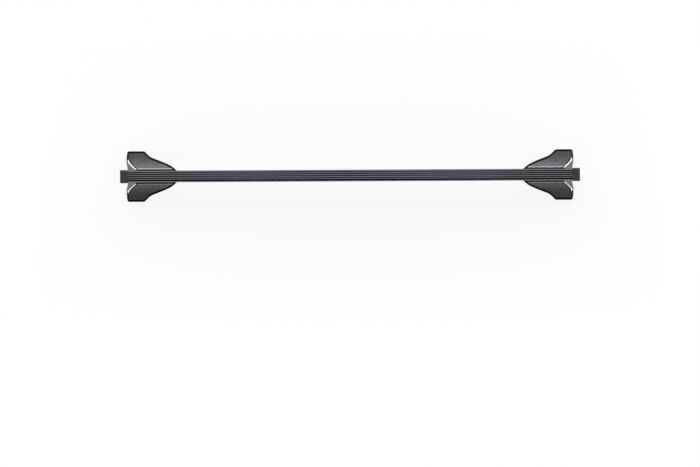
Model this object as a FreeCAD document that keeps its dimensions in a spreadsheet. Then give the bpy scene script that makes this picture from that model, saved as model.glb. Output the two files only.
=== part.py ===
import FreeCAD, Part
import math
import os
import re
import Sketcher

# A roof rack crossbar: a ribbed, plastic coated steel bar on two feet.
# Millimetres. The frame stands on the feet: +X along the bar, +Y fore and aft, +Z up.
# Each end is drawn from the outer face of its cap: sketch X runs inwards along the bar.
# A size given as a text follows the sizes that it names.

SIZES = {
    # the bar
    "overall_length": 1180,
    "bar_width": 30,
    "bar_height": 20,
    "bar_corner": 3,
    "coat_wall": 1,
    "coat_top_wall": 1.8,
    "tube_wall": 1.5,
    "tube_corner": 2,
    "groove_count": 5,
    "groove_pitch": 5.15,
    "groove_width": 1.9,
    "groove_depth": 0.9,
    "groove_lean": 0.2,
    "slot_start": 10.5,
    "slot_end": 216,
    "slot_width": 14,
    "slot_corner": 3,
    # the slide rail in the slot
    "rail_gauge": 1.5,
    "rail_side_gap": 0.25,
    "rail_recess": 0.2,
    "rail_flange": 3.5,
    "rail_bend": 1,
    "rail_end_gap": 0.3,
    "rail_lip": 1.2,
    "rail_track_start": 57.5,
    "rail_track_end": 136.5,
    "rail_track_gap": 0.2,
    # the end cap
    "cap_length": 18.3,
    "cap_end_wall": 2.5,
    "cap_side_wall": 2,
    "cap_top_wall": 2.5,
    "cap_corner": 4,
    "cap_edge": 1.2,
    "cap_fit": 0.1,
    "cap_tongue": 5.5,
    "cap_rim": 3.5,
    "plug_depth": 7,
    "plug_wall": 1.6,
    "plug_gap": 0.2,
    "cap_overlap": 1,
    # the foot's side outline
    "foot_height": 69.3,
    "foot_reach": 145,
    "foot_half_width": 65.5,
    "foot_top_start": 38,
    "heel_reach": 15.2,
    "heel_height": "0.5815 * foot_height",
    "heel_bend": 30,
    "shin_reach": 14,
    "shin_height": "0.2742 * foot_height",
    "base_start": 10,
    "base_end": 60.5,
    "ankle_height": "0.2237 * foot_height",
    "ankle_bend": 24,
    "arch_reach": "0.762 * foot_reach",
    "arch_height": "0.5945 * foot_height",
    "arch_bend": 60,
    "throat_reach": "0.893 * foot_reach",
    "throat_height": "0.6955 * foot_height",
    "throat_bend": 20,
    "chin_reach": "0.978 * foot_reach",
    "chin_height": "0.8658 * foot_height",
    "chin_bend": 8,
    "nose_reach": "0.9917 * foot_reach",
    "nose_height": "0.9553 * foot_height",
    "nose_bend": 2,
    "foot_top_end": "0.9724 * foot_reach",
    # the foot's cross outline
    "shelf_margin": 5,
    "shelf_edge": 2,
    "shoulder_half": "0.5115 * foot_half_width",
    "shoulder_height": "0.697 * foot_height",
    "shoulder_bend": 60,
    "band_height": "0.267 * foot_height",
    # the foot's plan outline
    "waist_reach": 18,
    "waist_half": 13,
    "waist_bend": 22,
    "bump_reach": 9.6,
    "bump_inner_half": "0.519 * foot_half_width",
    "bump_outer_half": "0.687 * foot_half_width",
    "bump_bend": 14,
    "corner_reach": 13.2,
    "corner_bend": 7,
    "flank_reach": "base_end - 4",
    "flank_bend": 6,
    "hip_reach": "0.5172 * foot_reach",
    "hip_half": "0.7557 * foot_half_width",
    "hip_bend": 40,
    "neck_reach": "0.7724 * foot_reach",
    "neck_half": "0.542 * foot_half_width",
    "neck_bend": 70,
    "cheek_reach": "0.8966 * foot_reach",
    "cheek_half": "0.4122 * foot_half_width",
    "cheek_bend": 22,
    "tip_half": 15,
    "tip_bend": 4,
    "foot_edge": 2,
    "face_edge": 3,
    # the foot's walls and what is inside them
    "split_low": 40.5,
    "split_high": "split_low + 9.5",
    "split_gap": 0.1,
    "split_wall": 2.7,
    "shell_wall": 2.7,
    "body_wall": 3,
    # how far the corners inside those walls move where the outline slants
    "shell_top_inset": "1.3 * shell_wall",
    "shell_heel_drop": "0.3 * shell_wall",
    "shell_band_drop": "0.4 * shell_wall",
    "shell_shoulder_drop": "0.6 * shell_wall",
    "body_arch_rise": "1.15 * body_wall",
    "body_band_drop": "0.4 * body_wall",
    "body_shoulder_drop": "0.6 * body_wall",
    # the blocks and openings inside the foot
    "rib_half": 36,
    "rib_gauge": 3.2,
    "rib_lift": 1,
    "boss_start": 27,
    "boss_half": 49,
    "boss_width": 13,
    "boss_lift": 6,
    "catch_start": 32,
    "catch_half": 29,
    "catch_width": 7,
    "catch_lift": 14,
    "pocket_end": "base_end - 5.8",
    "pocket_half_width": "0.7634 * foot_half_width",
    "thrust_pad": 6.5,
    "window_width": 20,
    "window_height": 8.2,
    "channel_radius": 8,
    "channel_wall": 2,
    "channel_gap": 0.7,
    # the clamp's works
    "screw_drop": "foot_height / 3.08",
    "plate_start": 53.2,
    "leg_start": 81,
    "leg_drop": "screw_drop + 10.5",
    "bracket_gauge": 3,
    "bracket_width": 24,
    "bracket_bend": 1.5,
    "bracket_gap": 0.2,
    "bolt_shank": 8,
    "bolt_length": 45,
    "bolt_head": 13,
    "bolt_head_height": 8,
    "bolt_chamfer": 0.8,
    "bolt_clearance": 0.25,
    "key_across": 6,
    "key_depth": 4,
    "thread_gap": 0.05,
    "washer_gauge": 1.6,
    "clamp_washer": 15,
    "draw_nut_across": 13,
    "draw_nut_length": 25,
    "draw_nut_start": 31.5,
    "nut_gap": 0.15,
    "tee_reach": 62,
    "tee_shank": 8,
    "tee_clearance": 0.5,
    "tee_tail": 0.8,
    "tee_head_length": 16,
    "tee_head_width": 10,
    "tee_head_height": 4,
    "tee_head_bend": 1.5,
    "tee_washer": 16,
    "tee_nut_across": 13,
    "tee_nut_height": 6.5,
}

SHARP_ANGLE = 12

V = FreeCAD.Vector
WORD = re.compile(r"[a-z][a-z0-9_]*")
PLANES = {
    "side": FreeCAD.Rotation(V(1, 0, 0), V(0, 0, 1), V(0, -1, 0), "XYZ"),
    "cross": FreeCAD.Rotation(V(0, 1, 0), V(0, 0, 1), V(1, 0, 0), "XYZ"),
    "plan": FreeCAD.Rotation(),
}
ORIGIN_PLANES = {"side": "XZ_Plane", "cross": "YZ_Plane", "plan": "XY_Plane"}

doc = FreeCAD.newDocument("Crossbar")
sheet = doc.addObject("Spreadsheet::Sheet", "Sizes")
for row, alias in enumerate(SIZES, start=1):
    sheet.set(f"A{row}", alias)
    sheet.setAlias(f"B{row}", alias)
for row, size in enumerate(SIZES.values(), start=1):
    sheet.set(f"B{row}", f"={size}")
doc.recompute()


# Sizes and sketches

def formula(text):
    """The text with each size's name pointing at its cell in the sheet."""
    return WORD.sub(lambda word: "Sizes." + word.group(0) if word.group(0) in SIZES else word.group(0), text)


def value(text):
    """The number that a text of sizes comes to."""
    return float(sheet.evalExpression(text))


def bind(thing, field, text):
    """Tie one property of a feature to the sheet."""
    thing.setExpression(field, formula(text))


def tie(sketch, kind, *where_and_text):
    """Add a dimension to a sketch and tie it to the sheet."""
    *where, text = where_and_text
    index = sketch.addConstraint(Sketcher.Constraint(kind, *where, value(text)))
    bind(sketch, f"Constraints[{index}]", text)


def pin_point(sketch, geometry, end, point):
    """Hold a point of the sketch at its two distances from the origin."""
    tie(sketch, "DistanceX", -1, 1, geometry, end, point[0])
    tie(sketch, "DistanceY", -1, 1, geometry, end, point[1])


def arc_at(point, before, after, radius):
    """The arc that rounds a corner: its centre, its two ends and whether it turns anticlockwise."""
    back = (before - point).normalize()
    ahead = (after - point).normalize()
    half = back.getAngle(ahead) / 2
    cut = radius / math.tan(half)
    centre = point + (back + ahead).normalize() * (radius / math.sin(half))
    return centre, point + back * cut, point + ahead * cut, ahead.cross(back).z > 0


def draw_bend(sketch, corner, point, arc, before, after):
    """Draw the arc of a rounded corner, tangent to the lines on both sides of it."""
    centre, start, end, anticlockwise = arc
    angles = [math.atan2(p.y - centre.y, p.x - centre.x) for p in (start, end)]
    first, last = (1, 2) if anticlockwise else (2, 1)
    if not anticlockwise:
        angles.reverse()
    circle = Part.Circle(centre, V(0, 0, 1), value(corner[2]))
    bend = sketch.addGeometry(Part.ArcOfCircle(circle, *angles), False)
    sketch.addConstraint(Sketcher.Constraint("Tangent", before, 2, bend, first))
    sketch.addConstraint(Sketcher.Constraint("Tangent", bend, last, after, 1))
    tie(sketch, "Radius", bend, corner[2])
    mark = sketch.addGeometry(Part.Point(point), True)
    pin_point(sketch, mark, 1, corner)
    sketch.addConstraint(Sketcher.Constraint("PointOnObject", mark, 1, before))
    sketch.addConstraint(Sketcher.Constraint("PointOnObject", mark, 1, after))


def draw_outline(sketch, corners):
    """Draw a closed outline: corners as (x, y) texts, or (x, y, radius) where it is rounded."""
    points = [V(value(corner[0]), value(corner[1]), 0) for corner in corners]
    count = len(points)
    arcs = {}
    for index, corner in enumerate(corners):
        if len(corner) == 3:
            ahead = points[(index + 1) % count]
            arcs[index] = arc_at(points[index], points[index - 1], ahead, value(corner[2]))
    lines = []
    for index, point in enumerate(points):
        after = (index + 1) % count
        start = arcs[index][2] if index in arcs else point
        end = arcs[after][1] if after in arcs else points[after]
        lines.append(sketch.addGeometry(Part.LineSegment(start, end), False))
    for index, corner in enumerate(corners):
        before = lines[index - 1]
        after = lines[index]
        if index in arcs:
            draw_bend(sketch, corner, points[index], arcs[index], before, after)
        else:
            sketch.addConstraint(Sketcher.Constraint("Coincident", before, 2, after, 1))
            pin_point(sketch, after, 1, corner)


def draw_circle(sketch, middle, radius):
    """Draw a circle round a (x, y) middle."""
    centre = V(value(middle[0]), value(middle[1]), 0)
    circle = sketch.addGeometry(Part.Circle(centre, V(0, 0, 1), value(radius)), False)
    pin_point(sketch, circle, 3, middle)
    tie(sketch, "Radius", circle, radius)


def draw(sketch, loops):
    """Draw each loop: a list of corners, or a circle as (middle, radius)."""
    for loop in loops:
        if isinstance(loop, tuple):
            draw_circle(sketch, *loop)
        else:
            draw_outline(sketch, loop)


def rectangle(left, low, right, high, *bend):
    """The corners of a rectangle, rounded where a bend is given."""
    return [(left, low, *bend), (right, low, *bend), (right, high, *bend), (left, high, *bend)]


def hexagon(across, height):
    """The corners of a hexagon that lies on a flat, its middle at a height on the Y axis."""
    wide = f"{across} / sqrt(3)"
    near = f"{across} / sqrt(12)"
    low = f"{height} - {across} / 2"
    high = f"{height} + {across} / 2"
    return [(wide, height), (near, high), (f"-{near}", high), (f"-{wide}", height),
            (f"-{near}", low), (near, low)]


def mirrored(half, axis):
    """A half outline and its mirror image: axis 0 turns the sketch's X over, axis 1 its Y."""
    image = []
    for corner in reversed(half):
        turned = list(corner)
        turned[axis] = f"-({corner[axis]})"
        image.append(tuple(turned))
    return half + image


# Features of a body

def new_body(name):
    """An empty body that will carry one sub-part."""
    return doc.addObject("PartDesign::Body", name)


def sketch_in(body, name, plane, loops, start="0"):
    """A sketch in a body, on one of its origin planes moved along its normal."""
    sketch = body.newObject("Sketcher::SketchObject", name)
    role = ORIGIN_PLANES[plane]
    support = next(feature for feature in body.Origin.OriginFeatures if feature.Role == role)
    sketch.AttachmentSupport = [(support, "")]
    sketch.MapMode = "FlatFace"
    bind(sketch, "AttachmentOffset.Base.z", start)
    draw(sketch, loops)
    return sketch


def grow(body, kind, name, plane, loops, length, start=None):
    """Pad or pocket a sketch: along its plane's normal from a start, or to both sides of the plane."""
    sketch = sketch_in(body, name + "_sketch", plane, loops, start or "0")
    feature = body.newObject("PartDesign::" + kind, name)
    feature.Profile = sketch
    feature.SideType = "Symmetric" if start is None else "One side"
    feature.Reversed = kind == "Pocket" and start is not None
    bind(feature, "Length", length)
    doc.recompute()
    return feature


def pad(body, name, plane, loops, length, start=None):
    """Add material."""
    return grow(body, "Pad", name, plane, loops, length, start)


def pocket(body, name, plane, loops, length, start=None):
    """Take material away, and make sure that some went."""
    before = body.Shape.Volume
    feature = grow(body, "Pocket", name, plane, loops, length, start)
    if not feature.Shape.Volume < before:
        raise ValueError(f"{name} cuts nothing")
    return feature


def turned(body, name, corners):
    """A piece turned about the sketch's X axis."""
    sketch = sketch_in(body, name + "_sketch", "side", [corners])
    feature = body.newObject("PartDesign::Revolution", name)
    feature.Profile = sketch
    feature.ReferenceAxis = (sketch, ["H_Axis"])
    feature.Angle = 360
    doc.recompute()
    return feature


def edges_where(shape, test):
    """The numbers of the edges whose middle passes a test."""
    found = []
    for number, edge in enumerate(shape.Edges, start=1):
        middle = edge.valueAt((edge.FirstParameter + edge.LastParameter) / 2)
        if test(edge, middle):
            found.append(number)
    return found


def soften(body, name, feature, radius, test):
    """Round the edges of a body's feature that pass a test."""
    numbers = edges_where(feature.Shape, test)
    fillet = body.newObject("PartDesign::Fillet", name)
    fillet.Base = (feature, [f"Edge{number}" for number in numbers])
    bind(fillet, "Radius", radius)
    doc.recompute()
    return fillet


# Solids outside a body

def slab(name, plane, corners, thickness):
    """An outline thickened evenly to both sides of a plane through the origin."""
    sketch = doc.addObject("Sketcher::SketchObject", name + "_sketch")
    sketch.Placement = FreeCAD.Placement(V(0, 0, 0), PLANES[plane])
    draw_outline(sketch, corners)
    solid = doc.addObject("Part::Extrusion", name)
    solid.Base = sketch
    solid.DirMode = "Normal"
    solid.Solid = True
    solid.Symmetric = True
    bind(solid, "LengthFwd", thickness)
    return solid


def block(name, start, end, half_width, low, high, middle="0"):
    """A box: start and end along the bar, its half width about a middle, low and high."""
    solid = doc.addObject("Part::Box", name)
    bind(solid, "Length", f"({end}) - ({start})")
    bind(solid, "Width", f"2 * ({half_width})")
    bind(solid, "Height", f"({high}) - ({low})")
    bind(solid, "Placement.Base.x", start)
    bind(solid, "Placement.Base.y", f"({middle}) - ({half_width})")
    bind(solid, "Placement.Base.z", low)
    return solid


def rod(name, start, end, radius, height, middle="0"):
    """A cylinder along the bar."""
    solid = doc.addObject("Part::Cylinder", name)
    solid.Placement = FreeCAD.Placement(V(0, 0, 0), FreeCAD.Rotation(V(0, 1, 0), 90))
    bind(solid, "Radius", radius)
    bind(solid, "Height", f"({end}) - ({start})")
    bind(solid, "Placement.Base.x", start)
    bind(solid, "Placement.Base.y", middle)
    bind(solid, "Placement.Base.z", height)
    return solid


def common(name, *solids):
    """What the solids share."""
    result = doc.addObject("Part::MultiCommon", name)
    result.Shapes = list(solids)
    return result


def union(name, *solids):
    """The solids made one."""
    result = doc.addObject("Part::MultiFuse", name)
    result.Shapes = list(solids)
    return result


def less(name, base, *tools):
    """The base with the tools taken away."""
    result = doc.addObject("Part::Cut", name)
    result.Base = base
    result.Tool = union(name + "_tools", *tools) if len(tools) > 1 else tools[0]
    return result


def round_edges(name, base, radius, test):
    """Round the edges of a solid that pass a test."""
    doc.recompute()
    result = doc.addObject("Part::Fillet", name)
    result.Base = base
    size = value(radius)
    result.Edges = [(number, size, size) for number in edges_where(base.Shape, test)]
    return result


def to_left_end(thing, height="0"):
    """Put a piece that was drawn from the cap's outer face at the left end of the bar."""
    bind(thing, "Placement.Base.x", "-overall_length / 2")
    bind(thing, "Placement.Base.z", height)


def sharp(shape, edge, middle):
    """Whether two faces meet at an edge with a clear corner."""
    faces = [face for face in shape.Faces if any(side.isSame(edge) for side in face.Edges)]
    if len(faces) != 2:
        return False
    normals = [face.normalAt(*face.Surface.parameter(middle)) for face in faces]
    return math.degrees(normals[0].getAngle(normals[1])) > SHARP_ANGLE


# Heights that many pieces share

BAR_TOP = "foot_height + bar_height"
TUBE_LOW = "foot_height + coat_wall"
TUBE_HIGH = "foot_height + bar_height - coat_top_wall"
TUBE_HALF = "bar_width / 2 - coat_wall"
TUBE_FLOOR = "foot_height + coat_wall + tube_wall"
TUBE_CEILING = "foot_height + bar_height - coat_top_wall - tube_wall"
TUBE_INNER_HALF = "bar_width / 2 - coat_wall - tube_wall"
BAR_LENGTH = "overall_length - 2 * cap_end_wall"
SCREW_HEIGHT = "foot_height - screw_drop"


# The bar

def cut_slots(body, name, low, high):
    """Open the underside of a bar's wall with one long slot near each end."""
    loops = []
    for hand in ("", "-"):
        near = f"{hand}(overall_length / 2 - slot_start)"
        far = f"{hand}(overall_length / 2 - slot_end)"
        loops.append([(near, "-slot_width / 2"), (far, "-slot_width / 2", "slot_corner"),
                      (far, "slot_width / 2", "slot_corner"), (near, "slot_width / 2")])
    return pocket(body, name, "plan", loops, f"({high}) - ({low}) + 2 * rail_gauge", f"{low} - rail_gauge")


def make_bar_tube():
    """The steel core of the bar: a rectangular tube with its two slots."""
    body = new_body("bar_tube")
    outer = rectangle(f"-({TUBE_HALF})", TUBE_LOW, TUBE_HALF, TUBE_HIGH, "tube_corner")
    inner = rectangle(f"-({TUBE_INNER_HALF})", TUBE_FLOOR, TUBE_INNER_HALF, TUBE_CEILING,
                      "tube_corner - tube_wall")
    pad(body, "tube_wall_pad", "cross", [outer, inner], BAR_LENGTH)
    cut_slots(body, "tube_slots", TUBE_LOW, TUBE_FLOOR)
    return body


def make_bar_sleeve():
    """The plastic coat on the tube, with grooves along its top."""
    body = new_body("bar_sleeve")
    outer = rectangle("-bar_width / 2", "foot_height", "bar_width / 2", BAR_TOP, "bar_corner")
    inner = rectangle(f"-({TUBE_HALF})", TUBE_LOW, TUBE_HALF, TUBE_HIGH, "tube_corner")
    pad(body, "coat_pad", "cross", [outer, inner], BAR_LENGTH)
    first = "-groove_pitch * (groove_count - 1) / 2"
    profile = [(f"{first} - groove_width / 2", BAR_TOP),
               (f"{first} - groove_width / 2 + groove_lean", f"{BAR_TOP} - groove_depth"),
               (f"{first} + groove_width / 2 - groove_lean", f"{BAR_TOP} - groove_depth"),
               (f"{first} + groove_width / 2", BAR_TOP)]
    groove = pocket(body, "first_groove", "cross", [profile], BAR_LENGTH)
    grooves = body.newObject("PartDesign::LinearPattern", "grooves")
    grooves.Originals = [groove]
    grooves.Direction = (groove.Profile[0], ["H_Axis"])
    bind(grooves, "Length", "groove_pitch * (groove_count - 1)")
    bind(grooves, "Occurrences", "groove_count")
    body.Tip = grooves
    doc.recompute()
    cut_slots(body, "coat_slots", "foot_height", TUBE_LOW)
    return body


def make_slide_rail():
    """The plated rail behind the slot: a hat section over its edges, with a lip that stops the foot."""
    body = new_body("slide_rail_left")
    web_half = "slot_width / 2 - rail_side_gap"
    web_low = "foot_height + rail_recess"
    web_high = "foot_height + rail_recess + rail_gauge"
    flange_half = "slot_width / 2 + rail_flange"
    flange_high = f"{TUBE_FLOOR} + rail_gauge"
    half = [(web_half, web_low, "rail_bend"),
            (web_half, TUBE_FLOOR),
            (flange_half, TUBE_FLOOR),
            (flange_half, flange_high),
            (f"{web_half} - rail_gauge", flange_high),
            (f"{web_half} - rail_gauge", web_high)]
    length = "slot_end - slot_start - 2 * rail_end_gap"
    pad(body, "rail_pad", "cross", [mirrored(half, 0)], length, "slot_start + rail_end_gap")
    track_half = "tee_shank / 2 + rail_track_gap"
    track = rectangle("rail_track_start", f"-({track_half})", "rail_track_end", track_half, "tee_shank / 2")
    pocket(body, "rail_track", "plan", [track], "3 * rail_gauge", web_low + " - rail_gauge")
    inner_end = "slot_end - rail_end_gap"
    lip = rectangle(f"{inner_end} - rail_gauge", "foot_height - rail_lip", inner_end, web_high)
    pad(body, "lip", "side", [lip], f"2 * ({web_half})")
    corner_start = f"{inner_end} - 2 * slot_corner"
    round_corners = mirrored([
        (corner_start, f"{web_half} + slot_corner"),
        (corner_start, web_half),
        (inner_end, web_half, "slot_corner - rail_side_gap"),
    ], 1)
    far = f"{inner_end} + slot_corner"
    outside = [(far, f"-({web_half} + slot_corner)"), (far, f"{web_half} + slot_corner")]
    pocket(body, "lip_corners", "plan", [round_corners + outside],
           f"{TUBE_FLOOR} - foot_height + 2 * rail_lip", "foot_height - 2 * rail_lip")
    to_left_end(body)
    return body


def make_end_cap():
    """The moulded cap: a cup over the bar's end, a plug inside the tube and a notch for the rail."""
    body = new_body("end_cap_left")
    half = "bar_width / 2 + cap_side_wall"
    low = "foot_height - cap_top_wall"
    high = f"{BAR_TOP} + cap_top_wall"
    shell = rectangle(f"-({half})", low, half, high, "cap_corner")
    cup = pad(body, "cup", "cross", [shell], "cap_length", "0")
    soften(body, "cup_edge", cup, "cap_edge", lambda edge, middle: middle.x < 0.01)
    mouth = rectangle("-(bar_width / 2 + cap_fit)", "foot_height - cap_fit",
                      "bar_width / 2 + cap_fit", f"{BAR_TOP} + cap_fit", "bar_corner")
    pocket(body, "mouth", "cross", [mouth], "cap_length", "cap_end_wall")
    plug_half = f"{TUBE_INNER_HALF} - plug_gap"
    plug_low = f"{TUBE_FLOOR} + plug_gap"
    plug_high = f"{TUBE_CEILING} - plug_gap"
    plug = [rectangle(f"-({plug_half})", plug_low, plug_half, plug_high),
            rectangle(f"-({plug_half} - plug_wall)", f"{plug_low} + plug_wall",
                      f"{plug_half} - plug_wall", f"{plug_high} - plug_wall")]
    pad(body, "plug", "cross", plug, "plug_depth + cap_end_wall / 2", "cap_end_wall / 2")
    leg_inner = "slot_width / 2"
    leg_outer = "slot_width / 2 + cap_rim"
    tongues = [rectangle(f"-({leg_outer})", low, f"-({leg_inner})", "foot_height - cap_fit"),
               rectangle(leg_inner, low, leg_outer, "foot_height - cap_fit")]
    pad(body, "tongues", "cross", tongues, "cap_tongue + cap_overlap", "cap_length - cap_overlap")
    notch = rectangle("slot_start", f"-({leg_inner})", "cap_length + cap_tongue", leg_inner)
    pocket(body, "notch", "plan", [notch], "2 * cap_top_wall", f"{low} - cap_top_wall")
    to_left_end(body)
    return body


# The foot's outer form

def foot_form():
    """Three outlines intersected: the foot seen from the side, along the bar and from above."""
    side = slab("foot_side", "side", [
        ("foot_top_start", "foot_height"),
        ("heel_reach", "heel_height", "heel_bend"),
        ("shin_reach", "shin_height", "heel_bend"),
        ("base_start", "0"),
        ("base_end", "0"),
        ("base_end", "ankle_height", "ankle_bend"),
        ("arch_reach", "arch_height", "arch_bend"),
        ("throat_reach", "throat_height", "throat_bend"),
        ("chin_reach", "chin_height", "chin_bend"),
        ("nose_reach", "nose_height", "nose_bend"),
        ("foot_top_end", "foot_height"),
    ], "3 * foot_half_width")
    cross = slab("foot_cross", "cross", mirrored([
        ("foot_half_width", "0"),
        ("foot_half_width", "band_height"),
        ("shoulder_half", "shoulder_height", "shoulder_bend"),
        ("bar_width / 2 + shelf_margin", "foot_height", "shelf_edge"),
    ], 0), "3 * foot_reach")
    plan = slab("foot_plan", "plan", mirrored([
        ("foot_reach", "tip_half", "tip_bend"),
        ("cheek_reach", "cheek_half", "cheek_bend"),
        ("neck_reach", "neck_half", "neck_bend"),
        ("hip_reach", "hip_half", "hip_bend"),
        ("flank_reach", "foot_half_width", "flank_bend"),
        ("corner_reach", "foot_half_width", "corner_bend"),
        ("bump_reach", "bump_outer_half", "bump_bend"),
        ("bump_reach", "bump_inner_half", "bump_bend"),
        ("waist_reach", "waist_half", "waist_bend"),
    ], 1), "3 * foot_height")
    blank = common("foot_blank", side, cross)
    # the broad bright edge between each slanted side panel and the end face
    eased = round_edges("foot_eased", blank, "face_edge", lambda edge, middle: (
        middle.x < value("foot_top_start") and abs(middle.y) > value("bar_width / 2 + shelf_margin - 1")
        and value("band_height") < middle.z < value("foot_height") - 1
        and sharp(blank.Shape, edge, middle)))
    form = common("foot_trimmed", eased, plan)
    return round_edges("foot_form", form, "foot_edge", lambda edge, middle: (
        middle.z > 1 and middle.z < value("foot_height") - 1 and sharp(form.Shape, edge, middle)))


def split_reach(height):
    """Where the joint between the cover and the body lies at a height."""
    return f"(split_low + (split_high - split_low) * ({height}) / foot_height)"


def split_zone(name, offset, outwards):
    """Everything on one side of the joint plane, moved along the bar by an offset."""
    low = "-foot_height / 2"
    high = "1.5 * foot_height"
    far = "-foot_half_width" if outwards else "2 * foot_reach"
    corners = [(f"{split_reach(low)} + {offset}", low), (f"{split_reach(high)} + {offset}", high),
               (far, high), (far, low)]
    return slab(name, "side", corners if outwards else list(reversed(corners)), "3 * foot_half_width")


def make_foot_cover(form):
    """The outer half of the foot: a thin shell with two ribs, two blocks and two catches."""
    zone = split_zone("cover_zone", "0", True)
    shell = common("cover_form", form, zone)
    drop = "-foot_height / 4"
    side = slab("cover_hollow_side", "side", [
        ("foot_top_start + shell_top_inset", "foot_height - shell_wall"),
        ("heel_reach + shell_top_inset", "heel_height - shell_heel_drop", "heel_bend - shell_wall"),
        ("shin_reach + shell_wall", "shin_height", "heel_bend - shell_wall"),
        ("base_start + shell_wall", "0"),
        ("base_start + shell_wall", drop),
        ("split_high + shell_wall", drop),
        ("split_high + shell_wall", "foot_height - shell_wall"),
    ], "3 * foot_half_width")
    cross = slab("cover_hollow_cross", "cross", mirrored([
        ("foot_half_width - shell_wall", drop),
        ("foot_half_width - shell_wall", "band_height - shell_band_drop"),
        ("shoulder_half - shell_wall", "shoulder_height - shell_shoulder_drop", "shoulder_bend"),
        ("bar_width / 2 + shelf_margin - shell_wall", "foot_height - shell_wall"),
    ], 0), "3 * foot_reach")
    plan = slab("cover_hollow_plan", "plan", mirrored([
        ("foot_reach", "foot_half_width - shell_wall"),
        ("corner_reach + shell_wall", "foot_half_width - shell_wall", "corner_bend - shell_wall"),
        ("bump_reach + shell_wall", "bump_outer_half", "bump_bend - shell_wall"),
        ("bump_reach + shell_wall", "bump_inner_half", "bump_bend - shell_wall"),
        ("waist_reach + shell_wall", "waist_half", "waist_bend + shell_wall"),
    ], 1), "3 * foot_height")
    hollow = common("cover_hollow", side, cross, plan)
    open_shell = less("cover_shell", shell, hollow)
    fittings = []
    for index, hand in enumerate(("", "-")):
        fittings.append(block(f"rib_{index}", "0", "split_high", "rib_gauge / 2", "rib_lift", "foot_height",
                              f"{hand}rib_half"))
        fittings.append(block(f"boss_{index}", "boss_start", "split_high", "boss_width / 2", "boss_lift",
                              "foot_height", f"{hand}boss_half"))
        fittings.append(block(f"catch_{index}", "catch_start", "split_high", "catch_width / 2", "catch_lift",
                              "foot_height", f"{hand}catch_half"))
    inside = common("cover_fittings", union("cover_blocks", *fittings), shell)
    cover = union("foot_cover_left", open_shell, inside)
    to_left_end(cover)
    return cover


def make_foot_body(form):
    """The inner half of the foot: it carries the bar, the clamp's works and the pocket underneath."""
    solid = common("body_form", form, split_zone("body_zone", "split_gap", False))
    inside = "split_gap + split_wall"
    floor = "ankle_height + body_arch_rise"
    ceiling = "foot_height - body_wall"
    side = slab("body_hollow_side", "side", [
        (f"{split_reach(ceiling)} + {inside}", ceiling),
        (f"{split_reach(floor)} + {inside}", floor),
        ("base_end", floor),
        ("arch_reach", "arch_height + body_arch_rise", "arch_bend"),
        ("throat_reach - body_wall / 2", "throat_height + body_arch_rise", "throat_bend"),
        ("chin_reach - body_wall", "chin_height + body_wall / 2"),
        ("chin_reach - body_wall", ceiling),
    ], "3 * foot_half_width")
    cross = slab("body_hollow_cross", "cross", mirrored([
        ("foot_half_width - body_wall", "0"),
        ("foot_half_width - body_wall", "band_height - body_band_drop"),
        ("shoulder_half - body_wall", "shoulder_height - body_shoulder_drop", "shoulder_bend"),
        ("bar_width / 2 + shelf_margin - body_wall", ceiling),
    ], 0), "3 * foot_reach")
    plan = slab("body_hollow_plan", "plan", mirrored([
        ("foot_reach - body_wall", "tip_half - body_wall / 2"),
        ("cheek_reach - body_wall / 2", "cheek_half - body_wall", "cheek_bend"),
        ("neck_reach - body_wall", "neck_half - body_wall", "neck_bend"),
        ("hip_reach - body_wall / 2", "hip_half - body_wall", "hip_bend"),
        ("flank_reach - body_wall / 2", "foot_half_width - body_wall"),
        ("base_start", "foot_half_width - body_wall"),
    ], 1), "3 * foot_height")
    hollow = common("body_hollow", side, cross, plan)
    pad_low = "foot_height - thrust_pad"
    pocket_top = f"{floor} + body_wall / 2"
    drop = "-foot_height / 4"
    adapter_pocket = slab("adapter_pocket", "side", [
        (f"{split_reach(drop)} + {inside}", drop),
        (f"{split_reach(pocket_top)} + {inside}", pocket_top),
        ("pocket_end", pocket_top),
        ("pocket_end", drop),
    ], "2 * pocket_half_width")
    shell = less("body_shell", solid, hollow, adapter_pocket)
    thrust_pad = block("thrust_pad", "base_start", "leg_start + bracket_gauge + 2 * bracket_gap",
                       "bracket_width / 2 + body_wall", pad_low, "foot_height")
    channel_start = "leg_start + bracket_gauge + washer_gauge + channel_gap"
    boss = rod("channel_boss", channel_start, "foot_reach", "channel_radius + channel_wall", SCREW_HEIGHT)
    inner = common("body_fittings", union("body_blocks", thrust_pad, boss), solid)
    whole = union("body_whole", shell, inner)
    plate_seat = block("plate_seat", "plate_start - bracket_gap", "leg_start + bracket_gauge + bracket_gap",
                       "bracket_width / 2 + bracket_gap", "foot_height - bracket_gauge",
                       "foot_height + bracket_gauge")
    leg_slot = block("leg_slot", "leg_start - bracket_bend - bracket_gap",
                     "leg_start + bracket_gauge + bracket_gap",
                     "bracket_width / 2 + bracket_gap", f"{pad_low} - bracket_gauge", "foot_height")
    tee_hole = doc.addObject("Part::Cylinder", "tee_hole")
    bind(tee_hole, "Radius", "tee_shank / 2 + tee_clearance")
    bind(tee_hole, "Height", "2 * thrust_pad")
    bind(tee_hole, "Placement.Base.x", "tee_reach")
    bind(tee_hole, "Placement.Base.z", "foot_height - 1.5 * thrust_pad")
    channel = rod("key_channel", channel_start + " - channel_gap", "foot_reach + body_wall", "channel_radius",
                  SCREW_HEIGHT)
    nut_hole = slab("nut_hole", "cross", hexagon("draw_nut_across + 2 * nut_gap", SCREW_HEIGHT),
                    "2 * plate_start")
    window = block("nut_window", "base_start", "plate_start", "window_width / 2",
                   f"{pad_low} - window_height", pad_low)
    body = less("foot_body_left", whole, plate_seat, leg_slot, tee_hole, channel, nut_hole, window)
    to_left_end(body)
    return body


# The clamp's works, all at the left end

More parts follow.
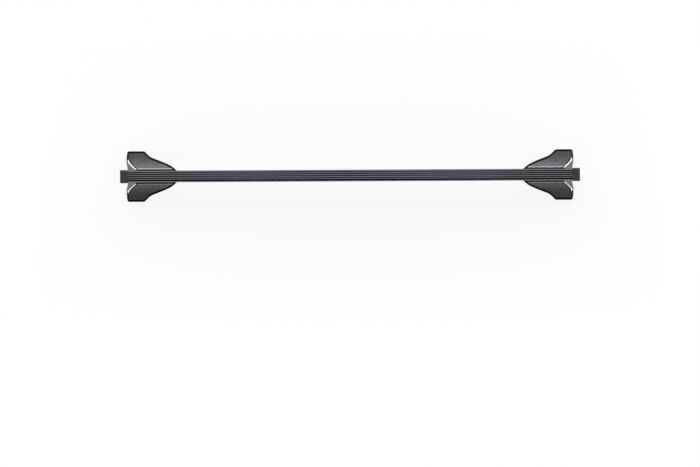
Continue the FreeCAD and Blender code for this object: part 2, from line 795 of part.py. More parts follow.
def make_thrust_bracket():
    """A bent steel angle: its plate lies under the bar and its leg takes the pull of the clamp bolt."""
    body = new_body("thrust_bracket_left")
    far = "leg_start + bracket_gauge"
    low = "foot_height - leg_drop"
    angle = [("plate_start", "foot_height"),
             ("plate_start", "foot_height - bracket_gauge"),
             ("leg_start", "foot_height - bracket_gauge", "bracket_bend"),
             ("leg_start", low),
             (far, low),
             (far, "foot_height", "bracket_bend + bracket_gauge")]
    pad(body, "angle", "side", [angle], "bracket_width")
    pocket(body, "tee_hole_in_plate", "plan", [(("tee_reach", "0"), "tee_shank / 2 + tee_clearance")],
           "3 * bracket_gauge", "foot_height - 2 * bracket_gauge")
    pocket(body, "bolt_hole_in_leg", "cross", [(("0", SCREW_HEIGHT), "bolt_shank / 2 + bolt_clearance")],
           "3 * bracket_gauge", "leg_start - bracket_gauge")
    to_left_end(body)
    return body


def make_clamp_bolt():
    """The socket head screw that draws the clamp inwards. It lies along the bar."""
    body = new_body("clamp_bolt_left")
    seat = "leg_start + bracket_gauge + washer_gauge"
    end = f"{seat} - bolt_length"
    top = f"{seat} + bolt_head_height"
    turned(body, "bolt_blank", [
        (end, "0"),
        (top, "0"),
        (top, "bolt_head / 2 - bolt_chamfer"),
        (f"{top} - bolt_chamfer", "bolt_head / 2"),
        (seat, "bolt_head / 2"),
        (seat, "bolt_shank / 2"),
        (f"{end} + bolt_chamfer", "bolt_shank / 2"),
        (end, "bolt_shank / 2 - bolt_chamfer"),
    ])
    pocket(body, "key_socket", "cross", [hexagon("key_across", "0")], "2 * key_depth", f"{top} - key_depth")
    to_left_end(body, SCREW_HEIGHT)
    return body


def make_washer(name, outer, start):
    """A flat washer on the clamp bolt's axis."""
    body = new_body(name)
    rings = [(("0", "0"), outer), (("0", "0"), "bolt_shank / 2 + bolt_clearance")]
    pad(body, name + "_ring", "cross", rings, "washer_gauge", start)
    to_left_end(body, SCREW_HEIGHT)
    return body


def make_draw_nut():
    """The long hexagon nut that the clamp bolt pulls along."""
    body = new_body("draw_nut_left")
    pad(body, "nut_blank", "cross", [hexagon("draw_nut_across", "0")], "draw_nut_length", "draw_nut_start")
    pocket(body, "nut_bore", "cross", [(("0", "0"), "bolt_shank / 2 + thread_gap")],
           "2 * draw_nut_length", "draw_nut_start - draw_nut_length / 2")
    to_left_end(body, SCREW_HEIGHT)
    return body


def make_tee_bolt():
    """The bolt that hangs the foot on the rail: a flat head in the rail and a shank down through the foot."""
    body = new_body("tee_bolt_left")
    seat = "foot_height + rail_recess + rail_gauge"
    end = "foot_height - thrust_pad - washer_gauge - tee_nut_height - tee_tail"
    head = rectangle("tee_reach - tee_head_length / 2", "-tee_head_width / 2",
                     "tee_reach + tee_head_length / 2", "tee_head_width / 2", "tee_head_bend")
    pad(body, "tee_head", "plan", [head], "tee_head_height", seat)
    shank = (("tee_reach", "0"), "tee_shank / 2")
    pad(body, "tee_shank_pad", "plan", [shank], f"{seat} - ({end}) + tee_head_height / 2", end)
    to_left_end(body)
    return body


def make_tee_washer():
    """The washer under the foot's inner ceiling."""
    body = new_body("tee_washer_left")
    middle = ("tee_reach", "0")
    rings = [(middle, "tee_washer / 2"), (middle, "tee_shank / 2 + tee_clearance")]
    pad(body, "tee_washer_ring", "plan", [rings[0], rings[1]], "washer_gauge",
        "foot_height - thrust_pad - washer_gauge")
    to_left_end(body)
    return body


def make_tee_nut():
    """The hexagon nut on the tee bolt."""
    body = new_body("tee_nut_left")
    low = "foot_height - thrust_pad - washer_gauge - tee_nut_height"
    flats = [(f"tee_reach + {x}", y) for x, y in hexagon("tee_nut_across", "0")]
    pad(body, "tee_nut_blank", "plan", [flats], "tee_nut_height", low)
    pocket(body, "tee_nut_bore", "plan", [(("tee_reach", "0"), "tee_shank / 2 + thread_gap")],
           "2 * tee_nut_height", f"{low} - tee_nut_height / 2")
    to_left_end(body)
    return body


# The whole crossbar

def at_right_end(left):
    """The same piece turned end for end."""
    right = doc.addObject("Part::Mirroring", left.Name.replace("left", "right"))
    right.Source = left
    right.Normal = V(1, 0, 0)
    return right


form = foot_form()
left_pieces = [
    make_slide_rail(),
    make_end_cap(),
    make_foot_body(form),
    make_foot_cover(form),
    make_thrust_bracket(),
    make_clamp_bolt(),
    make_washer("clamp_washer_left", "clamp_washer / 2", "leg_start + bracket_gauge"),
    make_draw_nut(),
    make_tee_bolt(),
    make_tee_washer(),
    make_tee_nut(),
]
pieces = [make_bar_tube(), make_bar_sleeve()] + left_pieces + [at_right_end(piece) for piece in left_pieces]
doc.recompute()

for thing in doc.Objects:
    if "Invalid" in thing.State or "Error" in thing.State:
        raise ValueError(f"{thing.Name} could not be made: {thing.getStatusString()}")
os.makedirs("parts", exist_ok=True)
for piece in pieces:
    solids = piece.Shape.Solids
    if piece.Shape.isNull() or not piece.Shape.isValid() or len(solids) != 1:
        raise ValueError(f"{piece.Label} is not one valid solid")
    piece.Shape.exportStep(f"parts/{piece.Label}.step")
    print(f"{piece.Label}: {solids[0].Volume / 1000:.1f} cm3, {len(solids[0].Faces)} faces")
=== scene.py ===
import math

import bmesh
import bpy
from mathutils import Matrix, Vector


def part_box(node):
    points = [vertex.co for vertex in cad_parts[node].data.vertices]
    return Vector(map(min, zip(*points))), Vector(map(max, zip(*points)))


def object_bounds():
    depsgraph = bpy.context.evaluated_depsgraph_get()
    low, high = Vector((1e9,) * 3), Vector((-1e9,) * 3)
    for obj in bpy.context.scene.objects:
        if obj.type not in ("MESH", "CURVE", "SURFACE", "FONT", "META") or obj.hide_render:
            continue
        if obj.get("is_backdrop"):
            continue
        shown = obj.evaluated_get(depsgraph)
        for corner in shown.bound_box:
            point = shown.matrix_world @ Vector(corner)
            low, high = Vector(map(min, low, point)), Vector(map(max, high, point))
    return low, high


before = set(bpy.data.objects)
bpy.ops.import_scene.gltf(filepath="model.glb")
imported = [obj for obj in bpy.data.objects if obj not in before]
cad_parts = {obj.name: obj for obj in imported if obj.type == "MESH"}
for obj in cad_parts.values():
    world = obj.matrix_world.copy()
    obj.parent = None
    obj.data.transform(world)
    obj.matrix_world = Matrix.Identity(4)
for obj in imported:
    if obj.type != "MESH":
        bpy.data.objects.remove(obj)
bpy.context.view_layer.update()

# A roof rack crossbar, seen from above on a white studio table.
# Lengths are in metres. The feet stand on the floor at height 0.

MM = 0.001
SIDES = ("left", "right")
BAR_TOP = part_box("bar_sleeve")[1].z
BAR_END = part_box("end_cap_right")[1].x
FOOT_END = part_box("foot_body_right")[0].x

# The bar's grooves: how far apart they are, and depths below the bar's top.
GROOVE_PITCH = 5.15 * MM
CREST_DEPTH = 0.1 * MM
FLANK_DEPTH = 0.45 * MM
GROOVE_DEPTH = 0.9 * MM
SHADE_DEPTH = 1.1 * MM
CORNER_DEPTH = 1.6 * MM
SIDE_DEPTH = 2 * MM
# Places on the bar, from its axis, and how far its blue cast fades in from the foot.
OUTER_RIDGE = 12.3 * MM
FRONT_GROOVE = 8.4 * MM
FRONT_RIDGE = 13.0 * MM
BLUE_FADE = 110 * MM

# The foot's outline from above, in millimetres: distances from the bar's end and from its axis.
FOOT_OUTLINE = ((0, 65.5), (56.5, 65.5), (66, 57), (75, 49.5),
                (93, 42.5), (112, 35.5), (130, 27), (145, 15))
OUTLINE_REACH = FOOT_OUTLINE[-1][0] * MM
# The edge between the end face and the side from above: distances from the bar's axis and from its end.
END_EDGE = ((0, 55), (20, 37.5), (28.5, 27.4), (34, 21.7),
            (37, 19.4), (41, 17.7), (46, 16.2), (66, 16))
# The painted highlight line on that edge and the painted shade line beside it, by how far past the edge
# they start and end.
HIGHLIGHT_LINE = (-2.6 * MM, 1.2 * MM)
SHADE_LINE = (1.7 * MM, 5.0 * MM)
# Places on the foot: across its rim, from the bar's end, from its axis and above the floor.
RIM_WIDTH = 5.2 * MM
RIM_END = 17.5 * MM
ARCH_START = 60 * MM
RIM_HALF = 41 * MM
WAIST_HALF = 17 * MM
WALL_END = 1.5 * MM
BAND_HEIGHT = 18.6 * MM
PANEL_HEIGHTS = (32 * MM, 58 * MM)
HEEL_HEIGHTS = (38 * MM, 40 * MM)
SHELF_HEIGHT = 66 * MM

# Masks step softly over these lengths.
SOFT_STEP = 0.5 * MM
EDGE_STEP = 0.4 * MM
FINE_STEP = 0.3 * MM
# Soft steps in how far a surface is turned: 1 is straight along the axis, 0 is square to it.
FLAT_DOWN = (-0.9, -0.8)
COAT_DOWN = (-0.9, -0.6)
FACES_DOWN = (-0.4, -0.2)
FACES_UP = (0.02, 0.08)
UPRIGHT = (0.05, 0.15)
LEVEL = (0.8, 0.95)
SHELF_LEAN = (0.03, 0.10)
SIDE_LEAN = (0.76, 0.82)
# Noise seldom leaves the first range. On the crests between the grooves the wave across them is in the
# second. A mask fills the third.
NOISE_RANGE = (0.3, 0.7)
CREST_RANGE = (-0.1, -1)
MASK_RANGE = (0, 1)
# A wave texture repeats after this length where its scale is 1.
WAVE_REPEAT = 2 * math.pi / 20

# How noise is stretched along the bar: not at all, as by rolling strip, and as by drawing out the coat.
EVEN = (1, 1, 1)
ROLLED = (0.01, 1, 1)
DRAWN = (0.006, 1, 1)

# Colours. Where there are two, a pattern blends them from dark to light.
COAT_SIDE = ((0.016, 0.018, 0.028), (0.024, 0.026, 0.038))
# The next colours are a painted highlight on the crests between the grooves and along the upper corners.
COAT_CREST_HIGHLIGHT = ((0.24, 0.24, 0.252), (0.31, 0.31, 0.323))
COAT_CLOUDS = ((0.92, 0.92, 0.93), (1.06, 1.06, 1.07))
# The next three colours are painted shade: in the grooves, in the front groove and on the coat's
# underside.
GROOVE_PAINTED_SHADE = (0.003, 0.003, 0.005)
FRONT_GROOVE_PAINTED_SHADE = (0.002, 0.002, 0.004)
UNDER_PAINTED_SHADE = (0.003, 0.003, 0.004)
# The next two colours are a brighter painted highlight on the front outer crest, at the feet and between
# them.
LIP_HIGHLIGHT_AT_FEET = (0.68, 0.67, 0.72)
LIP_HIGHLIGHT_BETWEEN = (0.46, 0.45, 0.50)
CAST_AT_FEET = (1.0, 1.0, 1.02)
CAST_BETWEEN = (1.08, 1.10, 1.33)
LOW_PANEL = ((0.048, 0.048, 0.051), (0.062, 0.062, 0.065))
# The next colour is the upper panels with a painted sheen, paler towards the bar.
HIGH_PANEL_SHEEN = ((0.108, 0.108, 0.114), (0.142, 0.142, 0.148))
# The next colour is painted light on the arch's downward faces.
ARCH_PAINTED_LIGHT = ((0.13, 0.13, 0.135), (0.17, 0.17, 0.175))
PANEL_DRIFT = ((0.92, 0.92, 0.94), (1.08, 1.07, 1.06))
PANEL_SPECK = ((0.90, 0.90, 0.90), (1.10, 1.10, 1.10))
# The next colour is a painted highlight on the shelf edge.
SHELF_PAINTED_HIGHLIGHT = (0.80, 0.79, 0.77)
# The next two colours are a painted highlight on the edge beside the end face and painted shade beside it.
EDGE_PAINTED_HIGHLIGHT = (0.88, 0.87, 0.84)
EDGE_PAINTED_SHADE = (0.012, 0.012, 0.013)
# The next colour is painted shade and dark reflection on the foot's rim, flange and band.
RIM_PAINTED_SHADE = (0.002, 0.002, 0.002)
# The next colour is painted light on the foot's downward faces at the floor.
WALL_PAINTED_LIGHT = (0.20, 0.20, 0.20)
CAP_BLACK = ((0.036, 0.036, 0.039), (0.048, 0.048, 0.052))
ZINC = ((0.46, 0.50, 0.51), (0.62, 0.63, 0.60))
BARE_STEEL = ((0.20, 0.21, 0.23), (0.33, 0.33, 0.34))
FLOOR_WHITE = (0.95, 0.95, 0.95)

# How strongly the plastics shine, less where the rim and the front groove take painted shade, and how far
# the painted highlights on the outer crests and the shelf edge and the painted shade on the coat's
# underside change colour.
SATIN_SHINE = 0.12
CAP_SHINE = 0.2
RIM_SHINE = 0.03
GROOVE_SHINE = 0.02
OUTER_HIGHLIGHT_SHARE = 0.8
SHELF_HIGHLIGHT_SHARE = 0.9
UNDER_SHADE = 0.9


# Shader helpers

class Finish:
    """A material being built: its shader and the nodes that feed it."""

    def __init__(self, name):
        self.material = bpy.data.materials.new(name)
        self.material.use_nodes = True
        self.tree = self.material.node_tree
        self.shader = self.tree.nodes["Principled BSDF"]
        self.place = self.node("ShaderNodeTexCoord").outputs["Object"]

    def node(self, kind, **settings):
        """A new node with its settings."""
        made = self.tree.nodes.new(kind)
        for name, setting in settings.items():
            setattr(made, name, setting)
        return made

    def link(self, output, socket):
        """Join two sockets."""
        self.tree.links.new(output, socket)

    def feed(self, name, output):
        """Let a pattern drive one of the shader's sockets."""
        self.link(output, self.shader.inputs[name])

    def set(self, **values):
        """Fixed values on the shader's own sockets."""
        for name, number in values.items():
            self.shader.inputs[name.replace("_", " ")].default_value = number

    def mapped(self, scale):
        """The object's own coordinates, stretched."""
        mapping = self.node("ShaderNodeMapping")
        mapping.inputs["Scale"].default_value = scale
        self.link(self.place, mapping.inputs["Vector"])
        return mapping.outputs["Vector"]

    def noise(self, size, stretch=EVEN, detail=2.0, roughness=0.5):
        """Noise whose features are about a size across, drawn out along an axis by a small stretch."""
        noise = self.node("ShaderNodeTexNoise")
        noise.inputs["Scale"].default_value = 1 / size
        noise.inputs["Detail"].default_value = detail
        noise.inputs["Roughness"].default_value = roughness
        self.link(self.mapped(stretch), noise.inputs["Vector"])
        return noise.outputs["Fac"]

    def bands(self, size):
        """Even bands a size apart along the bar."""
        wave = self.node("ShaderNodeTexWave", wave_type="BANDS", bands_direction="X")
        wave.inputs["Scale"].default_value = WAVE_REPEAT / size
        self.link(self.place, wave.inputs["Vector"])
        return wave.outputs["Fac"]

    def part(self, vector, axis):
        """One axis of a vector."""
        split = self.node("ShaderNodeSeparateXYZ")
        self.link(vector, split.inputs[0])
        return split.outputs[axis]

    def along(self, axis):
        """The object's own coordinate along an axis."""
        return self.part(self.place, axis)

    def turned(self, axis):
        """How far the surface faces along an axis, less than nought if it faces the other way."""
        return self.part(self.node("ShaderNodeTexCoord").outputs["Normal"], axis)

    def unsigned(self, value):
        """A value without its sign."""
        return self.maths("ABSOLUTE", value)

    def maths(self, operation, *values):
        """Arithmetic on values, each an output or a number."""
        maths = self.node("ShaderNodeMath", operation=operation)
        for socket, value in zip(maths.inputs, values):
            if isinstance(value, (int, float)):
                socket.default_value = value
            else:
                self.link(value, socket)
        return maths.outputs[0]

    def both(self, first, second):
        """Where two masks are on together."""
        return self.maths("MULTIPLY", first, second)

    def either(self, first, second):
        """Where one of two masks is on."""
        return self.maths("MAXIMUM", first, second)

    def without(self, first, second):
        """Where the first mask is on and the second is off."""
        return self.both(first, self.maths("SUBTRACT", 1, second))

    def spread(self, source, low, high, reach=NOISE_RANGE):
        """A stretch of a pattern or a place, turned into the stretch between two numbers."""
        spread = self.node("ShaderNodeMapRange")
        spread.inputs["From Min"].default_value = reach[0]
        spread.inputs["From Max"].default_value = reach[1]
        spread.inputs["To Min"].default_value = low
        spread.inputs["To Max"].default_value = high
        self.link(source, spread.inputs["Value"])
        return spread.outputs["Result"]

    def past(self, place, start, step=SOFT_STEP):
        """A mask that comes on at a place."""
        return self.spread(place, 0, 1, (start, start + step))

    def before(self, place, end, step=SOFT_STEP):
        """A mask that goes off at a place."""
        return self.spread(place, 1, 0, (end, end + step))

    def between(self, place, start, end, step=SOFT_STEP):
        """A mask that is on between two places."""
        return self.both(self.past(place, start, step), self.before(place, end, step))

    def blend(self, source, shades):
        """A dark and a light colour blended by a pattern."""
        ramp = self.node("ShaderNodeValToRGB")
        for stop, position, shade in zip(ramp.color_ramp.elements, NOISE_RANGE, shades):
            stop.position = position
            stop.color = (*shade, 1)
        self.link(source, ramp.inputs["Fac"])
        return ramp.outputs["Color"]

    def tint(self, first, second):
        """One colour multiplied by another."""
        mix = self.node("ShaderNodeMix", data_type="RGBA", blend_type="MULTIPLY")
        mix.inputs["Factor"].default_value = 1
        self.link(first, mix.inputs["A"])
        self.link(second, mix.inputs["B"])
        return mix.outputs["Result"]

    def mixed(self, share, first, second):
        """Two colours, each an output or three numbers, mixed by a share."""
        mix = self.node("ShaderNodeMix", data_type="RGBA")
        self.link(share, mix.inputs["Factor"])
        for socket, colour in ((mix.inputs["A"], first), (mix.inputs["B"], second)):
            if isinstance(colour, tuple):
                socket.default_value = (*colour, 1)
            else:
                self.link(colour, socket)
        return mix.outputs["Result"]

    def bump(self, source, height, under=None):
        """A relief of a height in metres, on top of another one if there is one."""
        bump = self.node("ShaderNodeBump")
        bump.inputs["Strength"].default_value = 1
        bump.inputs["Distance"].default_value = height
        self.link(source, bump.inputs["Height"])
        if under:
            self.link(under, bump.inputs["Normal"])
        return bump.outputs["Normal"]


# The bar's coat

def inner_crests(coat, height, across):
    """The crests between the bar's grooves, which take a painted highlight, 1 on them."""
    raised = coat.spread(height, 0, 1, (BAR_TOP - FLANK_DEPTH, BAR_TOP - CREST_DEPTH))
    wave = coat.maths("COSINE", coat.maths("MULTIPLY", across, 2 * math.pi / GROOVE_PITCH))
    return coat.both(raised, coat.spread(wave, 0, 1, CREST_RANGE))


def outer_crests(coat, height, across):
    """The crests along the bar's two upper corners, with their share of painted highlight."""
    corner = (OUTER_RIDGE, OUTER_RIDGE + EDGE_STEP)
    outside = coat.spread(coat.unsigned(across), 0, OUTER_HIGHLIGHT_SHARE, corner)
    return coat.both(outside, coat.past(height, BAR_TOP - CORNER_DEPTH, EDGE_STEP))


def groove_shade(coat, height):
    """The flanks and floors of the bar's grooves, which take painted shade, 1 on them."""
    top = coat.spread(height, 0, 1, (BAR_TOP - SIDE_DEPTH, BAR_TOP - SHADE_DEPTH))
    crest = coat.spread(height, 0, 1, (BAR_TOP - GROOVE_DEPTH, BAR_TOP - FLANK_DEPTH))
    return coat.maths("SUBTRACT", top, crest)


def coat_colour(coat, streaks, front_groove_shade):
    """A painted highlight on the crests and a brighter one on the front lip, painted shade in the grooves,
    the front groove and on the underside, and a bluer cast between the feet.
    """
    height = coat.along("Z")
    across = coat.along("Y")
    outer = outer_crests(coat, height, across)
    # The front outer crest takes a brighter painted highlight.
    lip = coat.both(outer, coat.spread(across, 1, 0, (-OUTER_RIDGE, 0)))
    middle = coat.spread(coat.unsigned(coat.along("X")), 1, 0, (FOOT_END - BLUE_FADE, FOOT_END))
    # Downward faces of the coat take painted shade.
    under = coat.spread(coat.turned("Z"), UNDER_SHADE, 0, COAT_DOWN)
    # Painted highlight on the crests and the two upper corners.
    crest_highlight = coat.either(inner_crests(coat, height, across), outer)
    colour = coat.mixed(crest_highlight, coat.blend(streaks, COAT_SIDE), coat.blend(streaks, COAT_CREST_HIGHLIGHT))
    # Painted shade in the grooves.
    colour = coat.mixed(groove_shade(coat, height), colour, GROOVE_PAINTED_SHADE)
    colour = coat.mixed(lip, colour, coat.mixed(middle, LIP_HIGHLIGHT_AT_FEET, LIP_HIGHLIGHT_BETWEEN))
    # Painted shade in the front groove.
    colour = coat.mixed(front_groove_shade, colour, FRONT_GROOVE_PAINTED_SHADE)
    colour = coat.mixed(under, colour, UNDER_PAINTED_SHADE)
    clouds = coat.noise(size=35 * MM, stretch=(0.25, 1, 1), detail=3)
    clouded = coat.tint(colour, coat.blend(clouds, COAT_CLOUDS))
    return coat.tint(clouded, coat.mixed(middle, CAST_AT_FEET, CAST_BETWEEN))


def ribbed_coat():
    """Black extruded plastic with a blue cast: a painted highlight on its crests, painted shade in its
    grooves.
    """
    coat = Finish("ribbed_coat")
    streaks = coat.noise(size=0.9 * MM, stretch=DRAWN, detail=4, roughness=0.6)
    # The front groove takes painted shade and shines less.
    front_groove_shade = coat.between(coat.along("Y"), -FRONT_RIDGE, -FRONT_GROOVE, FINE_STEP)
    coat.feed("Base Color", coat_colour(coat, streaks, front_groove_shade))
    coat.feed("Roughness", coat.spread(streaks, low=0.34, high=0.48))
    coat.feed("Specular IOR Level", coat.spread(front_groove_shade, SATIN_SHINE, GROOVE_SHINE, MASK_RANGE))
    grain = coat.bump(coat.noise(size=0.25 * MM), height=0.004 * MM)
    coat.feed("Normal", coat.bump(streaks, height=0.012 * MM, under=grain))
    return coat.material


# The feet's plastic

def line_at(plastic, place, line):
    """How far out a line lies at a place along it, from the line's corners in millimetres."""
    drawn = plastic.node("ShaderNodeFloatCurve")
    curve = drawn.mapping.curves[0]
    points = [(along * MM / OUTLINE_REACH, out * MM / OUTLINE_REACH) for along, out in line]
    curve.points[0].location = points[0]
    curve.points[1].location = points[-1]
    for point in points[1:-1]:
        curve.points.new(*point)
    for point in curve.points:
        point.handle_type = "VECTOR"
    drawn.mapping.update()
    plastic.link(plastic.maths("DIVIDE", place, OUTLINE_REACH), drawn.inputs["Value"])
    return plastic.maths("MULTIPLY", drawn.outputs["Value"], OUTLINE_REACH)


def foot_rim(plastic, reach, half, height):
    """The foot's rim, which takes painted shade and dark reflection, 1 on it: along its outline from
    above, round its flange and on its band.
    """
    inside = plastic.maths("SUBTRACT", line_at(plastic, reach, FOOT_OUTLINE), half)
    band = plastic.before(height, BAND_HEIGHT)
    upright = plastic.spread(plastic.unsigned(plastic.turned("Z")), 1, 0, UPRIGHT)
    side = plastic.without(plastic.before(inside, RIM_WIDTH), plastic.without(upright, band))
    seen = plastic.spread(plastic.turned("Z"), 0, 1, FACES_DOWN)
    flange = plastic.both(plastic.past(half, RIM_HALF), seen)
    return plastic.either(side, plastic.both(flange, plastic.either(plastic.before(reach, RIM_END), band)))


def end_edge(plastic, reach, half, height):
    """The foot's edge beside its end face: a painted highlight line on it, and a painted shade line beside
    that.
    """
    past = plastic.maths("SUBTRACT", reach, line_at(plastic, half, END_EDGE))
    raised = plastic.both(plastic.spread(height, 0, 1, HEEL_HEIGHTS), plastic.past(half, WAIST_HALF))
    clear = plastic.both(raised, plastic.spread(plastic.turned("Z"), 0, 1, FACES_UP))
    # A painted highlight line on the edge, and painted shade beside it.
    edge_highlight = plastic.both(plastic.between(past, *HIGHLIGHT_LINE), clear)
    dark = plastic.both(plastic.between(past, *SHADE_LINE), clear)
    return edge_highlight, dark


def shelf_edge(plastic, height):
    """The edge along the foot's shelf, which takes a painted highlight."""
    tilt = plastic.unsigned(plastic.turned("Y"))
    lean = plastic.both(plastic.spread(tilt, 0, 1, SHELF_LEAN), plastic.spread(tilt, 1, 0, SIDE_LEAN))
    return plastic.both(lean, plastic.past(height, SHELF_HEIGHT))


def panel_colour(plastic, reach, height, mottle):
    """The foot's panels, with a painted sheen that makes them paler towards the bar, and painted light on
    the arch's downward faces.
    """
    # The upper slanted panels take a painted sheen.
    slanted = plastic.spread(plastic.unsigned(plastic.turned("Z")), 1, 0, LEVEL)
    upper = plastic.both(slanted, plastic.spread(height, 0, 1, PANEL_HEIGHTS))
    panel = plastic.mixed(upper, plastic.blend(mottle, LOW_PANEL), plastic.blend(mottle, HIGH_PANEL_SHEEN))
    # The arch's downward faces take painted light.
    down = plastic.spread(plastic.turned("Z"), 1, 0, FACES_DOWN)
    arch = plastic.both(down, plastic.past(reach, ARCH_START))
    return plastic.mixed(arch, panel, plastic.blend(mottle, ARCH_PAINTED_LIGHT))


def edged_colour(plastic, colour, reach, half, height):
    """A colour with the painted highlight on the foot's shelf edge, and the painted highlight line and
    painted shade line beside its end face.
    """
    edge_highlight, dark = end_edge(plastic, reach, half, height)
    # Painted highlight on the shelf edge.
    highlight_share = plastic.maths("MULTIPLY", shelf_edge(plastic, height), SHELF_HIGHLIGHT_SHARE)
    shelf = plastic.mixed(highlight_share, colour, SHELF_PAINTED_HIGHLIGHT)
    return plastic.mixed(edge_highlight, plastic.mixed(dark, shelf, EDGE_PAINTED_SHADE), EDGE_PAINTED_HIGHLIGHT)


def grained_plastic():
    """The feet's satin black nylon with a spark eroded grain: painted shade on its rim, painted highlights
    on its upper edges, a painted sheen on its panels, painted light underneath.
    """
    plastic = Finish("grained_plastic")
    reach = plastic.maths("SUBTRACT", BAR_END, plastic.unsigned(plastic.along("X")))
    half = plastic.unsigned(plastic.along("Y"))
    height = plastic.along("Z")
    mottle = plastic.noise(size=9 * MM, detail=4)
    drift = plastic.blend(plastic.noise(size=45 * MM, stretch=(1, 0.5, 1)), PANEL_DRIFT)
    speck = plastic.blend(plastic.noise(size=2.2 * MM), PANEL_SPECK)
    panel = plastic.tint(plastic.tint(panel_colour(plastic, reach, height, mottle), drift), speck)
    edged = edged_colour(plastic, panel, reach, half, height)
    # Painted shade and dark reflection on the rim, which also shines less.
    rim = foot_rim(plastic, reach, half, height)
    # Painted light on the downward faces at the floor.
    down = plastic.spread(plastic.turned("Z"), 1, 0, FLAT_DOWN)
    walls = plastic.both(down, plastic.before(height, WALL_END))
    plastic.feed("Base Color", plastic.mixed(walls, plastic.mixed(rim, edged, RIM_PAINTED_SHADE), WALL_PAINTED_LIGHT))
    plastic.feed("Roughness", plastic.spread(mottle, low=0.40, high=0.52))
    plastic.feed("Specular IOR Level", plastic.spread(rim, SATIN_SHINE, RIM_SHINE, MASK_RANGE))
    grain = plastic.noise(size=0.55 * MM, detail=3, roughness=0.6)
    plastic.feed("Normal", plastic.bump(grain, height=0.02 * MM))
    return plastic.material


# The caps and the metal

def cap_plastic():
    """The end caps' dark plastic, with faint ribs across it."""
    plastic = Finish("cap_plastic")
    mottle = plastic.noise(size=6 * MM, detail=3)
    plastic.feed("Base Color", plastic.blend(mottle, CAP_BLACK))
    plastic.feed("Roughness", plastic.spread(mottle, low=0.38, high=0.5))
    ribs = plastic.bump(plastic.bands(1.6 * MM), height=0.05 * MM)
    grain = plastic.noise(size=0.4 * MM)
    plastic.feed("Normal", plastic.bump(grain, height=0.008 * MM, under=ribs))
    plastic.set(Specular_IOR_Level=CAP_SHINE)
    return plastic.material


def zinc_plate(name, stretch):
    """Bright zinc plating with a faint blue and straw cast, its marks drawn out by a stretch."""
    zinc = Finish(name)
    marks = zinc.noise(size=0.5 * MM, stretch=stretch, detail=4, roughness=0.6)
    cloud = zinc.noise(size=7 * MM, detail=3)
    zinc.feed("Base Color", zinc.blend(cloud, ZINC))
    zinc.feed("Roughness", zinc.spread(marks, low=0.22, high=0.40))
    zinc.feed("Normal", zinc.bump(marks, height=0.006 * MM))
    zinc.set(Metallic=1.0)
    return zinc.material


def mill_steel():
    """The tube's bare rolled steel, dull and slightly blue."""
    steel = Finish("mill_steel")
    marks = steel.noise(size=0.8 * MM, stretch=ROLLED, detail=4)
    cloud = steel.noise(size=12 * MM, detail=4)
    steel.feed("Base Color", steel.blend(cloud, BARE_STEEL))
    steel.feed("Roughness", steel.spread(marks, low=0.35, high=0.55))
    steel.feed("Normal", steel.bump(marks, height=0.01 * MM))
    steel.set(Metallic=1.0)
    return steel.material


def paint(node, material):
    """Give a piece of the frame its material."""
    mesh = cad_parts[node].data
    mesh.materials.clear()
    mesh.materials.append(material)


def dress_frame():
    """Every piece of the frame gets the finish of the real one."""
    plastic = grained_plastic()
    cap = cap_plastic()
    rail = zinc_plate("zinc_strip", ROLLED)
    plated = zinc_plate("zinc_hardware", EVEN)
    paint("bar_sleeve", ribbed_coat())
    paint("bar_tube", mill_steel())
    for side in SIDES:
        paint(f"slide_rail_{side}", rail)
        paint(f"end_cap_{side}", cap)
        paint(f"foot_body_{side}", plastic)
        paint(f"foot_cover_{side}", plastic)
        for piece in ("thrust_bracket", "clamp_bolt", "clamp_washer", "draw_nut",
                      "tee_bolt", "tee_washer", "tee_nut"):
            paint(f"{piece}_{side}", plated)


# The studio

FLOOR_HALF = 6.0
# The floor's glow beside the bar, and how far off it rises to plain white.
# Lengths along the bar count a fifth there.
FLOOR_GLOW = 0.88
GLOW_REACH = (0.12, 0.40)
GLOW_SHAPE = (0.2, 1, 1)
# The surround's light on the object, and the point over the floor that the lamps are turned to.
SURROUND_LEVEL = 0.14
LAMP_AIM = (0, 0, 0.05)
CAMERA_LENS = 150.0
CAMERA_REACH = 50.0
SENSOR = 36.0
# The photograph's size and where the bar's ends lie in it, in pixels.
IMAGE_WIDTH = 700
IMAGE_HEIGHT = 467
BAR_LEFT_PIXEL = 120
BAR_RIGHT_PIXEL = 580
BAR_LEFT_ROW = 176.7
BAR_RIGHT_ROW = 174.4


def floor_white():
    """Matt white that glows for the camera, fades to plain white and can be looked through from below."""
    white = Finish("floor_white")
    white.set(Base_Color=(*FLOOR_WHITE, 1), Roughness=0.9, Specular_IOR_Level=0.1)
    path = white.node("ShaderNodeLightPath").outputs
    seen = path["Is Camera Ray"]
    for kind in ("Is Glossy Ray", "Is Transmission Ray"):
        seen = white.either(seen, path[kind])
    distance = white.node("ShaderNodeVectorMath", operation="LENGTH")
    white.link(white.mapped(GLOW_SHAPE), distance.inputs[0])
    fade = white.spread(distance.outputs["Value"], FLOOR_GLOW, 1, GLOW_REACH)
    lit = white.node("ShaderNodeMixShader")
    white.link(white.both(seen, fade), lit.inputs["Fac"])
    white.link(white.shader.outputs["BSDF"], lit.inputs[1])
    white.link(white.node("ShaderNodeEmission").outputs["Emission"], lit.inputs[2])
    below = white.node("ShaderNodeNewGeometry").outputs["Backfacing"]
    clear = white.node("ShaderNodeMixShader")
    white.link(white.either(below, path["Is Shadow Ray"]), clear.inputs["Fac"])
    white.link(lit.outputs["Shader"], clear.inputs[1])
    white.link(white.node("ShaderNodeBsdfTransparent").outputs["BSDF"], clear.inputs[2])
    white.link(clear.outputs["Shader"], white.tree.nodes["Material Output"].inputs["Surface"])
    return white.material


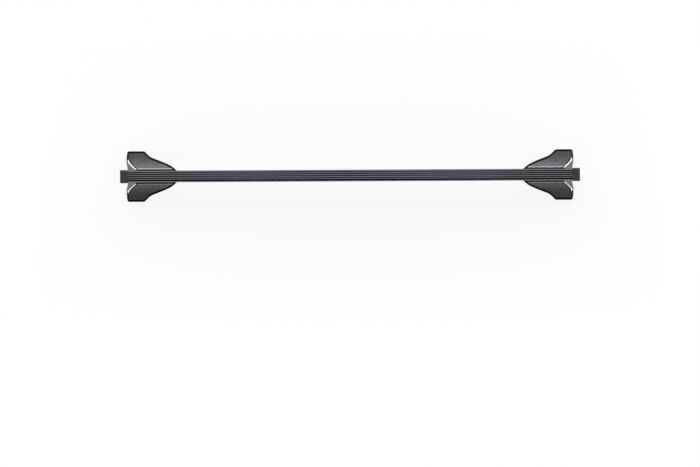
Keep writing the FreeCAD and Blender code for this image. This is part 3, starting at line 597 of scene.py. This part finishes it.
def studio_floor():
    """A white table that keeps the object's shadow."""
    mesh = bpy.data.meshes.new("floor")
    shape = bmesh.new()
    bmesh.ops.create_grid(shape, x_segments=1, y_segments=1, size=FLOOR_HALF)
    shape.to_mesh(mesh)
    shape.free()
    mesh.materials.append(floor_white())
    floor = bpy.data.objects.new("floor", mesh)
    bpy.context.collection.objects.link(floor)
    floor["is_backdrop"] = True


def studio_world():
    """A soft white surround: plain white where the camera, a gloss or a glass sees it."""
    world = bpy.data.worlds.new("surround")
    world.use_nodes = True
    bpy.context.scene.world = world
    nodes = world.node_tree.nodes
    links = world.node_tree.links
    background = nodes["Background"]
    background.inputs["Color"].default_value = (1, 1, 1, 1)
    path = nodes.new("ShaderNodeLightPath")
    seen = path.outputs["Is Camera Ray"]
    for kind in ("Is Glossy Ray", "Is Transmission Ray"):
        either = nodes.new("ShaderNodeMath")
        either.operation = "MAXIMUM"
        links.new(seen, either.inputs[0])
        links.new(path.outputs[kind], either.inputs[1])
        seen = either.outputs[0]
    level = nodes.new("ShaderNodeMapRange")
    links.new(seen, level.inputs["Value"])
    level.inputs["To Min"].default_value = SURROUND_LEVEL
    links.new(level.outputs["Result"], background.inputs["Strength"])


def soft_lamp(name, place, aim, size, power):
    """A large rectangular lamp that shines from a place towards a point."""
    lamp = bpy.data.lights.new(name, "AREA")
    lamp.shape = "RECTANGLE"
    lamp.size, lamp.size_y = size
    lamp.energy = power
    holder = bpy.data.objects.new(name, lamp)
    turn = (Vector(aim) - Vector(place)).to_track_quat("-Z", "Y")
    holder.matrix_world = Matrix.Translation(place) @ turn.to_matrix().to_4x4()
    bpy.context.collection.objects.link(holder)


def studio_lamps():
    """A strong soft light behind the bar, weak ones before and under it, a low strip beyond each end."""
    soft_lamp("back_soft", place=(0, 1.7, 1.3), aim=LAMP_AIM, size=(3.4, 1.8), power=52)
    soft_lamp("front_soft", place=(0, -1.4, 1.8), aim=LAMP_AIM, size=(2.2, 0.7), power=4)
    for sign in (-1, 1):
        end = (sign * 0.55, 0, 0.05)
        soft_lamp("end_strip", place=(sign * 1.2, 0, 0.10), aim=end, size=(1.6, 0.14), power=8)
    soft_lamp("under_soft", place=(0, 0, -1.2), aim=(0, 0, 0), size=(2.0, 0.8), power=12)


def studio_camera():
    """Straight down on the bar with a long lens, as far off and as tilted as the photograph's frame."""
    low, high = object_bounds()
    per_pixel = (high.x - low.x) / (BAR_RIGHT_PIXEL - BAR_LEFT_PIXEL)
    distance = per_pixel * IMAGE_WIDTH * CAMERA_LENS / SENSOR
    tilt = math.atan2(BAR_LEFT_ROW - BAR_RIGHT_ROW, BAR_RIGHT_PIXEL - BAR_LEFT_PIXEL)
    data = bpy.data.cameras.new("camera")
    data.lens = CAMERA_LENS
    data.sensor_width = SENSOR
    data.shift_x = (IMAGE_WIDTH - BAR_LEFT_PIXEL - BAR_RIGHT_PIXEL) / 2 / IMAGE_WIDTH
    data.shift_y = ((BAR_LEFT_ROW + BAR_RIGHT_ROW) / 2 - IMAGE_HEIGHT / 2) / IMAGE_WIDTH
    data.clip_end = CAMERA_REACH
    camera = bpy.data.objects.new("camera", data)
    camera.location = (0, 0, BAR_TOP + distance)
    camera.rotation_euler = (0, 0, -tilt)
    bpy.context.collection.objects.link(camera)
    bpy.context.scene.camera = camera


# The whole scene

dress_frame()
studio_floor()
studio_world()
studio_lamps()
studio_camera()
bpy.context.scene.view_settings.view_transform = "Standard"
